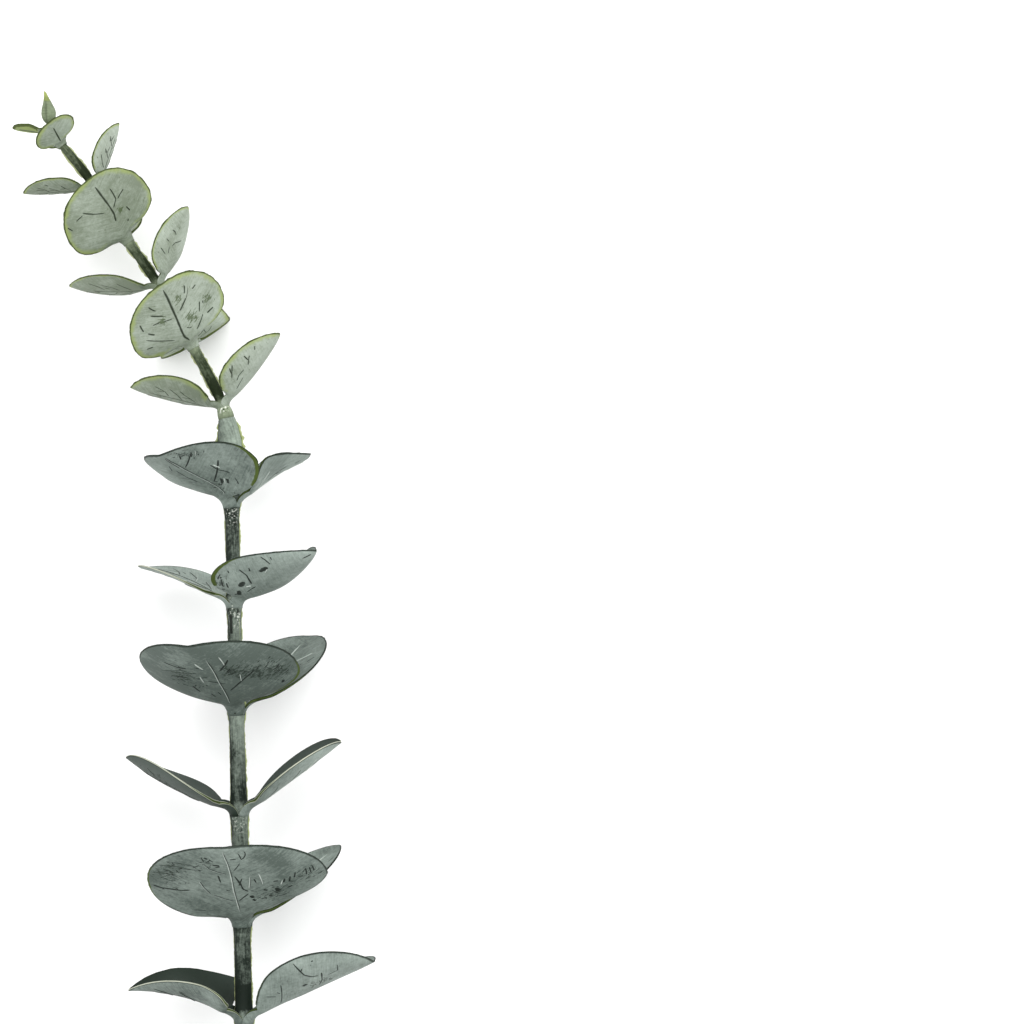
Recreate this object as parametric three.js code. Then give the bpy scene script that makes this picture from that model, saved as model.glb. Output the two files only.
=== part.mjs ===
// A cut branch of silver-dollar eucalyptus lying on its side, tip towards +Y.
// Millimetres, +Z up, the resting surface is z = 0.
import * as THREE from "three";

const DEG = Math.PI / 180;

// Driving dimensions
const LEAF_THICK = 0.8;         // middle of a leaf blade
const SPRAY_THICK = 0.7;        // leaves of the thin spray
const COLLAR_GAP = 0.35;        // between a leaf base and its stem
const COLLAR_WRAP = 58 * DEG;   // how far a leaf base reaches round the stem, each way
const SOCKET_RADIUS = 1.95;     // blind hole in the top of the main stem
const SOCKET_DEPTH = 7.0;
const PEG_RADIUS = 1.55;        // lower end of the spray stem
const PEG_GAP = 0.5;            // under the end of the peg
const CURVE_STEPS = 96;         // steps along one leaf

// Stem stations from the cut end to the tip: x, y, z and the stem radius there
const STATIONS = {
  cut: [17.5, -218.0, 2.88, 2.9],
  low: [17.6, -174.0, 9.5, 2.8],
  n14: [16.9, -128.0, 19.5, 2.75],
  n13: [16.1, -94.0, 26.0, 2.7],
  n12: [15.3, -58.5, 30.0, 2.65],
  n11: [14.8, -29.4, 32.0, 2.6],
  n10: [14.0, 3.8, 33.0, 2.6],
  n09: [13.2, 33.9, 33.0, 2.3],
  n08: [12.4, 66.0, 32.0, 2.15],
  n07: [11.6, 96.0, 31.0, 2.3],
  top: [11.0, 112.0, 30.0, 1.55],
  n06: [8.4, 124.5, 28.8, 1.6],
  n05: [-1.0, 142.5, 26.8, 1.5],
  n04: [-11.4, 160.8, 25.4, 1.45],
  n03: [-20.8, 174.3, 24.2, 1.4],
  n02: [-31.0, 190.8, 22.8, 1.35],
  n01: [-40.6, 202.8, 22.0, 1.2],
  n00: [-44.7, 207.6, 21.5, 1.0],
};
const NAMES = Object.keys(STATIONS);

// Leaves. turn: side of the stem it leaves from (0 right, 90 up, 180 left, -90 down).
// rise: angle towards the tip of the branch. curl: change of rise along the blade,
// between late and until. cup: how far each half curls up, [v < 0, v > 0] or both.
// roll, twist: turn about the midrib, early and along the blade. power: fullness of
// the base half. point: sharpness of the tip (0.5 is round). lobe: how far the base
// corners reach back. skew: one half wider.
const LEAVES = {
  leaf_14_left: { at: "n14", turn: 158, long: 30, wide: 36, rise: 34, curl: -20, cup: 26, roll: 4 },
  leaf_14_right: { at: "n14", turn: 22, long: 31, wide: 36, rise: 32, curl: -10, cup: 26, roll: -4 },
  leaf_13_front: { at: "n13", turn: 84, long: 32, wide: 46, rise: 14, curl: 4, cup: 16, power: 2.6 },
  leaf_13_back: {
    at: "n13", turn: -92, long: 37, wide: 42, rise: 5, curl: 77, late: 0.37, until: 0.74, cup: 1.5,
    flat: true,
  },
  leaf_12_left: {
    at: "n12", turn: 180, long: 30, wide: 41, rise: 31, curl: -33, cup: [45, 34], roll: 8, widest: 0.2,
    power: [8, 3], lobe: [2, 0], point: 0.9,
  },
  leaf_12_right: {
    at: "n12", turn: 10, long: 38, wide: 44, rise: 28, curl: -6, cup: [38, 30], roll: -14, widest: 0.55,
    point: 0.6,
  },
  leaf_11_front: {
    at: "n11", turn: 96, long: 36, wide: 54, skew: 0.07, rise: 42, cup: [2, 24], roll: -2.5,
    power: [2.6, 1.5], lobe: [2, -2.5],
  },
  leaf_11_back: { at: "n11", turn: -33, long: 34, wide: 24, rise: 32, cup: 14, point: 0.7 },
  leaf_10_left: { at: "n10", turn: 180, long: 31.5, wide: 38, rise: 20, curl: 18, cup: 22, twist: 8 },
  leaf_10_right: { at: "n10", turn: 0, long: 31, wide: 34, rise: 35, cup: 26, roll: 2, widest: 0.5 },
  leaf_09_front: {
    at: "n09", turn: 110, long: 34, wide: 50, skew: 0.07, rise: 32, cup: [22, 26], power: [2.4, 3],
  },
  leaf_09_back: { at: "n09", turn: -46, long: 32, wide: 36, rise: 37, cup: 14 },
  leaf_08_front: {
    at: "n08", turn: 35, long: 29, wide: 38, rise: 18, curl: 18, cup: [30, 72], roll: -12, twist: 9,
    widest: 0.36, power: 4, lobe: [4, 0], point: 0.85,
  },
  leaf_08_back: { at: "n08", turn: 200, long: 26.5, wide: 31, rise: 33, curl: -24, cup: 14 },
  leaf_07_front: {
    at: "n07", turn: 140, long: 25, wide: 39, skew: 0.16, rise: 40, curl: -24, cup: [34, 8], roll: 15,
    power: 3, lobe: [0, 3], point: 0.45,
  },
  leaf_07_back: {
    at: "n07", turn: -30, long: 23, wide: 32, rise: 38, curl: -16, cup: 30, roll: -25, twist: 28,
    power: 4,
  },
  leaf_06_left: { at: "n06", turn: 170, long: 24, wide: 24, rise: 34, cup: 30, roll: 6, point: 0.66 },
  leaf_06_right: {
    at: "n06", turn: 20, long: 24.5, wide: 23, rise: 28, cup: 40, roll: -3, widest: 0.42, power: 2.5,
    point: 0.66,
  },
  leaf_05_front: {
    at: "n05", turn: 86, long: 25, wide: 32, rise: 36.5, curl: 5, cup: [5, 15], roll: 8, power: 3,
    lobe: [2, 0], widest: 0.38, point: 0.45,
  },
  leaf_05_back: {
    at: "n05", turn: -88, long: 34, wide: 24, rise: 12, curl: 83, late: 0.5, until: 0.8, widest: 0.6,
    cup: 1.5, flat: true,
  },
  leaf_04_left: {
    at: "n04", turn: 180, long: 23, wide: 26, rise: 25, curl: 18, cup: 16, roll: 7, point: 0.72,
  },
  leaf_04_right: {
    at: "n04", turn: 10, long: 21.5, wide: 19.5, rise: 39, cup: 25, roll: -13, widest: 0.4, power: 3,
    point: 0.68,
  },
  leaf_03_front: {
    at: "n03", turn: 90, long: 24.5, wide: 29, rise: 42, cup: [3, 10], roll: 9, power: 3, lobe: [2, 0],
    widest: 0.38, point: 0.45,
  },
  leaf_03_back: { at: "n03", turn: -98, long: 17.5, wide: 17, rise: 36, cup: 14, power: 3 },
  leaf_02_left: {
    at: "n02", turn: 178, long: 17.5, wide: 18, rise: 31, cup: 25, roll: 5, power: 3.5, point: 0.68,
  },
  leaf_02_right: {
    at: "n02", turn: 5, long: 16.5, wide: 19, rise: 36, cup: 25, roll: -3, widest: 0.42, power: 3,
    point: 0.7,
  },
  leaf_01_front: { at: "n01", turn: 80, long: 9.5, wide: 13.5, rise: 32, cup: 8, power: 3 },
  leaf_01_back: { at: "n01", turn: -98, long: 7, wide: 7.5, rise: 60, cup: 10 },
  leaf_00_left: { at: "n00", turn: 178, long: 8.5, wide: 5.6, rise: 52, curl: -8, cup: 25, roll: 16 },
};


const LEAF_GREEN = new THREE.MeshStandardMaterial({ color: "#7f8e82", roughness: 0.75, metalness: 0 });
const SPRAY_GREEN = new THREE.MeshStandardMaterial({ color: "#93a285", roughness: 0.7, metalness: 0 });
const STEM_GREY = new THREE.MeshStandardMaterial({ color: "#6c7b6e", roughness: 0.7, metalness: 0 });
const STEM_GREEN = new THREE.MeshStandardMaterial({ color: "#6f7d57", roughness: 0.65, metalness: 0 });

const curve = new THREE.CatmullRomCurve3(
  NAMES.map((name) => new THREE.Vector3(...STATIONS[name])),
  false,
  "catmullrom",
  0.5,
);

function smooth(x) {
  const c = Math.min(1, Math.max(0, x));
  return c * c * (3 - 2 * c);
}

function pair(value, fallback) {
  const v = value === undefined ? fallback : value;
  return Array.isArray(v) ? v : [v, v];
}

// Position and axes of the stem at curve parameter t
function stemFrame(t) {
  const point = curve.getPoint(t);
  const along = curve.getTangent(t);
  const right = new THREE.Vector3().crossVectors(along, new THREE.Vector3(0, 0, 1)).normalize();
  const up = new THREE.Vector3().crossVectors(right, along);
  return { point, along, right, up };
}

// Moving frames along the midrib of one leaf
function leafFrames(leaf) {
  const index = NAMES.indexOf(leaf.at);
  const radius = STATIONS[leaf.at][3];
  const { point, along, right, up } = stemFrame(index / (NAMES.length - 1));
  const neck = radius > 1.9 ? 4.5 : radius > 1.25 ? 3.0 : 1.6;
  const out = right.clone().multiplyScalar(Math.cos(leaf.turn * DEG));
  out.addScaledVector(up, Math.sin(leaf.turn * DEG));
  const side = new THREE.Vector3().crossVectors(along, out);
  const pos = point.clone().addScaledVector(along, -0.75 * neck);
  pos.addScaledVector(out, radius + COLLAR_GAP + LEAF_THICK / 2);
  const dir = out.clone().applyAxisAngle(side, -86 * DEG);
  const normal = new THREE.Vector3().crossVectors(dir, side);
  if (normal.dot(out) > 0) {
    normal.negate();
  }
  const total = neck + leaf.long;
  const step = total / CURVE_STEPS;
  const rise = leaf.rise * DEG;
  const curl = (leaf.curl || 0) * DEG;
  let last = { pitch: 86 * DEG, roll: 0 };
  const frames = [];
  for (let i = 0; i <= CURVE_STEPS; i += 1) {
    const s = i * step;
    const x = Math.max(0, (s - neck) / leaf.long);
    const bend = smooth(s / neck);
    const ramp = leaf.late ? smooth((x - leaf.late) / (leaf.until - leaf.late)) : x;
    const pitch = 86 * DEG * (1 - bend) + rise * bend + curl * ramp;
    const early = smooth(s / (neck + 0.35 * leaf.long));
    const roll = (leaf.roll || 0) * DEG * early + (leaf.twist || 0) * DEG * smooth(x);
    const lift = -(pitch - last.pitch);
    dir.applyAxisAngle(side, lift);
    normal.applyAxisAngle(side, lift);
    side.applyAxisAngle(dir, roll - last.roll);
    normal.applyAxisAngle(dir, roll - last.roll);
    last = { pitch, roll };
    if (i > 0) {
      pos.addScaledVector(dir, step);
    }
    frames.push({ pos: pos.clone(), dir: dir.clone(), side: side.clone(), normal: normal.clone(), s, x });
  }
  return { frames, neck, radius, total };
}

// Point of a leaf: q from base 0 to tip 1, v across -1..1, w through the blade -1..1
function leafPoint(shape, leaf, thick, q, v, w) {
  const at = Math.min(CURVE_STEPS, Math.max(0, q * CURVE_STEPS));
  const low = Math.min(CURVE_STEPS - 1, Math.floor(at));
  const f = shape.frames[low];
  const g = shape.frames[low + 1];
  const mix = at - low;
  const pos = f.pos.clone().lerp(g.pos, mix);
  const side = f.side.clone().lerp(g.side, mix).normalize();
  const normal = f.normal.clone().lerp(g.normal, mix).normalize();
  const s = f.s + (g.s - f.s) * mix;
  const x = Math.max(0, (s - shape.neck) / leaf.long);
  const half = v > 0 ? 1 : 0;
  const sign = v > 0 ? 1 : -1;
  const widest = leaf.widest || 0.45;
  const e = x < widest ? (widest - x) / widest : (x - widest) / (1 - widest);
  const power = x < widest ? pair(leaf.power, 2)[half] : 2;
  const point = x < widest ? 0.5 : leaf.point || 0.5;
  const blade = s > shape.neck ? (leaf.wide / 2) * Math.max(0, 1 - e ** power) ** point : 0;
  const collar = COLLAR_WRAP * (shape.radius + COLLAR_GAP) * (1 - 0.9 * x);
  const eased = smooth(s / (shape.neck * 1.8));
  let width = x < widest ? (collar ** 4 + blade ** 4) ** 0.25 : blade;
  width = Math.max(width * (1 + (leaf.skew || 0) * sign * eased), 0.02);
  const beta = COLLAR_WRAP * (1 - eased) + pair(leaf.cup, 20)[half] * DEG * eased;
  const bow = beta / width;
  const across = Math.abs(v) * width;
  const lateral = Math.sin(bow * across) / bow;
  const raised = (1 - Math.cos(bow * across)) / bow;
  const back = pair(leaf.lobe, 0)[half] * eased * v * v * Math.max(0, 1 - x / 0.6) ** 2;
  pos.addScaledVector(side, lateral * sign);
  pos.addScaledVector(normal, raised);
  pos.addScaledVector(f.dir, -back);
  const skin = (w * thick) / 2;
  pos.addScaledVector(normal, Math.cos(bow * across) * skin);
  pos.addScaledVector(side, -Math.sin(bow * across) * sign * skin);
  if (leaf.flat) {
    pos.z = Math.max(pos.z, Math.max(0, w) * thick);
  }
  return pos;
}

// A leaf blade: a sphere pulled out so that its poles are the base and the tip
function leafGeometry(leaf, thick) {
  const around = 12;
  const rings = leaf.flat ? 15 : 11;
  const shape = leafFrames(leaf);
  const geometry = new THREE.SphereGeometry(1, around, rings);
  const position = geometry.attributes.position;
  for (let i = 0; i < position.count; i += 1) {
    const x = position.getX(i);
    const y = position.getY(i);
    const z = position.getZ(i);
    const ring = Math.round((Math.acos(Math.min(1, Math.max(-1, y))) / Math.PI) * rings);
    const reach = Math.hypot(x, z);
    const pole = ring === 0 || ring === rings;
    const v = pole ? 0 : x / reach;
    const w = pole ? 0 : z / reach;
    let q = Math.max(0, ring - 1) / (rings - 1);
    if (ring === rings - 1) {
      q = 1 - 0.35 / (rings - 1);
    }
    const p = leafPoint(shape, leaf, thick, q, v, w);
    position.setXYZ(i, p.x, p.y, p.z);
  }
  return geometry;
}

// A body of revolution bent along the stem curve; profile rows are [radius, station number]
function bentLathe(profile, around) {
  const points = profile.map(([radius, station]) => new THREE.Vector2(radius, station));
  const geometry = new THREE.LatheGeometry(points, around);
  const position = geometry.attributes.position;
  for (let i = 0; i < position.count; i += 1) {
    const x = position.getX(i);
    const z = position.getZ(i);
    const frame = stemFrame(position.getY(i) / (NAMES.length - 1));
    frame.point.addScaledVector(frame.right, x);
    frame.point.addScaledVector(frame.up, z);
    position.setXYZ(i, frame.point.x, frame.point.y, frame.point.z);
  }
  return geometry;
}

// Radius of the stem at a station number, between the table rows
function stemRadius(station) {
  const low = Math.min(NAMES.length - 2, Math.floor(station));
  const a = STATIONS[NAMES[low]][3];
  const b = STATIONS[NAMES[low + 1]][3];
  return a + (b - a) * (station - low);
}

function mainStemGeometry() {
  const seven = NAMES.indexOf("n07");
  const rim = NAMES.indexOf("top") + 0.62;
  const floor = rim - SOCKET_DEPTH / 14;
  const profile = [[0, 0]];
  for (let station = 0; station <= seven; station += 0.5) {
    profile.push([stemRadius(station), station]);
  }
  profile.push([2.6, seven + 0.4]);
  profile.push([3.6, seven + 0.8]);
  profile.push([3.95, seven + 1.0]);
  profile.push([3.7, seven + 1.2]);
  profile.push([3.0, seven + 1.42]);
  profile.push([2.55, rim]);
  profile.push([SOCKET_RADIUS, rim]);
  profile.push([SOCKET_RADIUS, floor]);
  profile.push([0, floor]);
  return bentLathe(profile, 14);
}

function sprayStemGeometry() {
  const rim = NAMES.indexOf("top") + 0.62;
  const foot = rim - (SOCKET_DEPTH - PEG_GAP) / 14;
  const last = NAMES.length - 1;
  const profile = [[0, foot], [PEG_RADIUS, foot], [PEG_RADIUS, rim]];
  for (let station = Math.ceil(rim); station < last; station += 0.5) {
    profile.push([stemRadius(station), station]);
  }
  profile.push([1.0, last]);
  profile.push([0, last]);
  return bentLathe(profile, 12);
}

// The teardrop bud that ends the spray
function budGeometry() {
  const long = 10.2;
  const profile = [[0, 0], [0.85, 0.15], [1.7, 1.7], [2.15, 3.3], [2.0, 4.8], [1.35, 6.5], [0.65, 8.3]];
  profile.push([0, long]);
  const geometry = new THREE.LatheGeometry(profile.map(([r, y]) => new THREE.Vector2(r, y)), 10);
  const last = stemFrame(1);
  geometry.rotateZ(4 * DEG);
  geometry.translate(last.point.x + 0.5, last.point.y + 1.0, last.point.z);
  return geometry;
}

function addMesh(group, name, geometry, material) {
  const mesh = new THREE.Mesh(geometry, material);
  mesh.name = name;
  group.add(mesh);
}

const part = new THREE.Group();
part.name = "eucalyptus_branch";
addMesh(part, "main_stem", mainStemGeometry(), STEM_GREY);
addMesh(part, "spray_stem", sprayStemGeometry(), STEM_GREEN);
addMesh(part, "tip_bud", budGeometry(), SPRAY_GREEN);
for (const [name, leaf] of Object.entries(LEAVES)) {
  const spray = NAMES.indexOf(leaf.at) >= NAMES.indexOf("n06");
  const thick = spray ? SPRAY_THICK : LEAF_THICK;
  addMesh(part, name, leafGeometry(leaf, thick), spray ? SPRAY_GREEN : LEAF_GREEN);
}

export default part;
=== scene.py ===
import math
import random

import bmesh
import bpy
import numpy as np
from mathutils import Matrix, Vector, noise


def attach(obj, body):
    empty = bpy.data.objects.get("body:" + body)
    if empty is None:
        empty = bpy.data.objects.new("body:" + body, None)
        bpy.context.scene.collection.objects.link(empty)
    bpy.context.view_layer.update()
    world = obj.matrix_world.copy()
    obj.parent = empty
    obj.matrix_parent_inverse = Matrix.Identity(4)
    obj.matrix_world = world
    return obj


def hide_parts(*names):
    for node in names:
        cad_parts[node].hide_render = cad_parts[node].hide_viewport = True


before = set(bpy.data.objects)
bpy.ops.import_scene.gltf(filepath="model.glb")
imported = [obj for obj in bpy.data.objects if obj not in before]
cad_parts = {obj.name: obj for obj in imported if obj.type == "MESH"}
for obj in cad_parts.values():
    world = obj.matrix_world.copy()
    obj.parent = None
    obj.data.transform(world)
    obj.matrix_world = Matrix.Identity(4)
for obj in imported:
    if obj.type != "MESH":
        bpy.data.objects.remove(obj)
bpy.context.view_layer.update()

# Everything is worked out in millimetres and turned into metres when a mesh is finished.

# Stem stations from the cut end to the tip: x, y, z and the stem radius there
STATIONS = {
    "cut": (17.5, -218.0, 2.88, 2.9),
    "low": (17.6, -174.0, 9.5, 2.8),
    "n14": (16.9, -128.0, 19.5, 2.75),
    "n13": (16.1, -94.0, 26.0, 2.7),
    "n12": (15.3, -58.5, 30.0, 2.65),
    "n11": (14.8, -29.4, 32.0, 2.6),
    "n10": (14.0, 3.8, 33.0, 2.6),
    "n09": (13.2, 33.9, 33.0, 2.3),
    "n08": (12.4, 66.0, 32.0, 2.15),
    "n07": (11.6, 96.0, 31.0, 2.3),
    "top": (11.0, 112.0, 30.0, 1.55),
    "n06": (8.4, 124.5, 28.8, 1.6),
    "n05": (-1.0, 142.5, 26.8, 1.5),
    "n04": (-11.4, 160.8, 25.4, 1.45),
    "n03": (-20.8, 174.3, 24.2, 1.4),
    "n02": (-31.0, 190.8, 22.8, 1.35),
    "n01": (-40.6, 202.8, 22.0, 1.2),
    "n00": (-44.7, 207.6, 21.5, 1.0),
}
NODES = list(STATIONS)
POINTS = np.array([row[:3] for row in STATIONS.values()])
RADII = np.array([row[3] for row in STATIONS.values()])
LAST = len(NODES) - 1
at_node = NODES.index  # the station of a named node

# Leaves. turn: side of the stem it leaves from (0 right, 90 up, 180 left, -90 down).
# rise: angle towards the tip of the branch. curl: change of rise along the blade,
# between late and until. cup: how far each half curls up, [left, right] or both.
# roll, twist: turn about the midrib, early and along the blade. power: fullness of
# the base half. point: sharpness of the tip (0.5 is round). lobe: how far the base
# corners reach back. skew: one half wider.
# tone: lightness of the leaf, partly its own colour and partly painted light and shade; inner: that of
# its upper face, made darker there as painted shade. pale: light rim.
# moss: [along, side] of the stout green rim. fresh: below 1 a wide green rim, above 1 a
# narrow one.
# wear: [along, across, size] of its rubbed places.
LEAVES = {
    "leaf_14_left": dict(at="n14", turn=158, long=30, wide=36, rise=34, curl=-20, cup=26, roll=4),
    "leaf_14_right": dict(at="n14", turn=22, long=31, wide=36, rise=32, curl=-10, cup=26, roll=-4),
    "leaf_13_front": dict(at="n13", turn=84, long=32, wide=46, rise=14, curl=4, cup=16, power=2.6,
        tone=-0.2, wear=[[0.4, 0.4, 0.3]]),
    "leaf_13_back": dict(at="n13", turn=-92, long=37, wide=42, rise=5, curl=77, late=0.37,
        until=0.74, cup=1.5, flat=True),
    "leaf_12_left": dict(at="n12", turn=180, long=30, wide=41, rise=31, curl=-33, cup=[45, 34],
        roll=8, widest=0.2, power=[8, 3], lobe=[2, 0], point=0.9, pale=1, tone=-0.3, upper_face_shade=-1.85),
    "leaf_12_right": dict(at="n12", turn=10, long=38, wide=44, rise=28, curl=-6, cup=[38, 30],
        roll=-14, widest=0.55, point=0.6, wear=[[0.6, -0.2, 0.1]], tone=0.35),
    "leaf_11_front": dict(at="n11", turn=96, long=36, wide=54, skew=0.07, rise=42, cup=[2, 24],
        roll=-2.5, power=[2.6, 1.5], lobe=[2, -2.5],
        wear=[[0.32, 0.45, 0.14], [0.5, 0.85, 0.12], [0.78, -0.3, 0.12], [0.6, -0.75, 0.2]],
        moss=[0.45, -0.5], tone=-0.25),
    "leaf_11_back": dict(at="n11", turn=-33, long=34, wide=24, rise=32, cup=14, point=0.7,
        tone=0.2),
    "leaf_10_left": dict(at="n10", turn=180, long=31.5, wide=38, rise=20, curl=18, cup=22, twist=8,
        pale=1, wear=[[0.55, 0.3, 0.3]], upper_face_shade=-1.6, tone=-1.4),
    "leaf_10_right": dict(at="n10", turn=0, long=31, wide=34, rise=35, cup=26, roll=2, widest=0.5,
        pale=1, tone=0.5, upper_face_shade=-1.6),
    "leaf_09_front": dict(at="n09", turn=110, long=34, wide=50, skew=0.07, rise=32, cup=[22, 26],
        power=[2.4, 3], tone=-0.7,
        wear=[[0.56, 0.3, 0.12], [0.5, 0.55, 0.15], [0.4, 0.8, 0.15], [0.5, -0.35, 0.2]],
        moss=[0.1, 1.0]),
    "leaf_09_back": dict(at="n09", turn=-46, long=32, wide=36, rise=37, cup=14, tone=-0.2),
    "leaf_08_front": dict(at="n08", turn=35, long=29, wide=38, rise=18, curl=18, cup=[30, 72],
        roll=-12, twist=9, widest=0.36, power=4, lobe=[4, 0], point=0.85, tone=0.45,
        moss=[0.15, -1.0], wear=[[0.12, -0.85, 0.12]]),
    "leaf_08_back": dict(at="n08", turn=200, long=26.5, wide=31, rise=33, curl=-24, cup=14, pale=1,
        tone=0.7),
    "leaf_07_front": dict(at="n07", turn=140, long=25, wide=39, skew=0.16, rise=40, curl=-24,
        cup=[34, 8], roll=15, power=3, lobe=[0, 3], point=0.45, tone=0.05,
        wear=[[0.15, 0.25, 0.06], [0.85, 0.4, 0.16]], moss=[0.3, 1.0]),
    "leaf_07_back": dict(at="n07", turn=-30, long=23, wide=32, rise=38, curl=-16, cup=30, roll=-25,
        twist=28, power=4, tone=0.35),
    "leaf_06_left": dict(at="n06", turn=170, long=24, wide=24, rise=34, cup=30, roll=6, point=0.66,
        tone=-0.5),
    "leaf_06_right": dict(at="n06", turn=20, long=24.5, wide=23, rise=28, cup=40, roll=-3,
        widest=0.42, power=2.5, point=0.66, tone=0.2),
    "leaf_05_front": dict(at="n05", turn=86, long=25, wide=32, rise=36.5, curl=5, cup=[5, 15],
        roll=8, power=3, lobe=[2, 0], widest=0.38, point=0.45, tone=0.15,
        wear=[[0.68, 0.17, 0.08], [0.32, 0.22, 0.11], [0.52, -0.3, 0.07], [0.4, 0.66, 0.09]]),
    "leaf_05_back": dict(at="n05", turn=-88, long=34, wide=24, rise=12, curl=83, late=0.5,
        until=0.8, widest=0.6, cup=1.5, flat=True),
    "leaf_04_left": dict(at="n04", turn=180, long=23, wide=26, rise=25, curl=18, cup=16, roll=7,
        point=0.72, tone=-0.55, fresh=2.0),
    "leaf_04_right": dict(at="n04", turn=10, long=21.5, wide=19.5, rise=39, cup=25, roll=-13,
        widest=0.4, power=3, point=0.68, tone=0.3, fresh=2.0),
    "leaf_03_front": dict(at="n03", turn=90, long=24.5, wide=29, rise=42, cup=[3, 10], roll=9,
        power=3, lobe=[2, 0], widest=0.38, point=0.45, tone=-0.5, wear=[[0.35, 0.25, 0.06]]),
    "leaf_03_back": dict(at="n03", turn=-98, long=17.5, wide=17, rise=36, cup=14, power=3),
    "leaf_02_left": dict(at="n02", turn=178, long=17.5, wide=18, rise=31, cup=25, roll=5, power=3.5,
        point=0.68, tone=-0.7, fresh=2.0),
    "leaf_02_right": dict(at="n02", turn=5, long=16.5, wide=19, rise=36, cup=25, roll=-3,
        widest=0.42, power=3, point=0.7, tone=0.6, fresh=2.0),
    "leaf_01_front": dict(at="n01", turn=80, long=9.5, wide=13.5, rise=32, cup=8, power=3,
        tone=0.0),
    "leaf_01_back": dict(at="n01", turn=-98, long=7, wide=7.5, rise=60, cup=10),
    "leaf_00_left": dict(at="n00", turn=178, long=8.5, wide=5.6, rise=52, curl=-8, cup=25, roll=16,
        fresh=0.3, tone=-0.8),
}

WRAP = math.radians(86)  # how far a leaf base reaches round the stem, each way
STEEP = math.radians(86)  # how nearly a leaf starts out along the stem
MIDRIB_STEPS = 96
SMALL_LEAF = 12  # a shorter blade gets a coarser mesh and only a midrib
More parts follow.
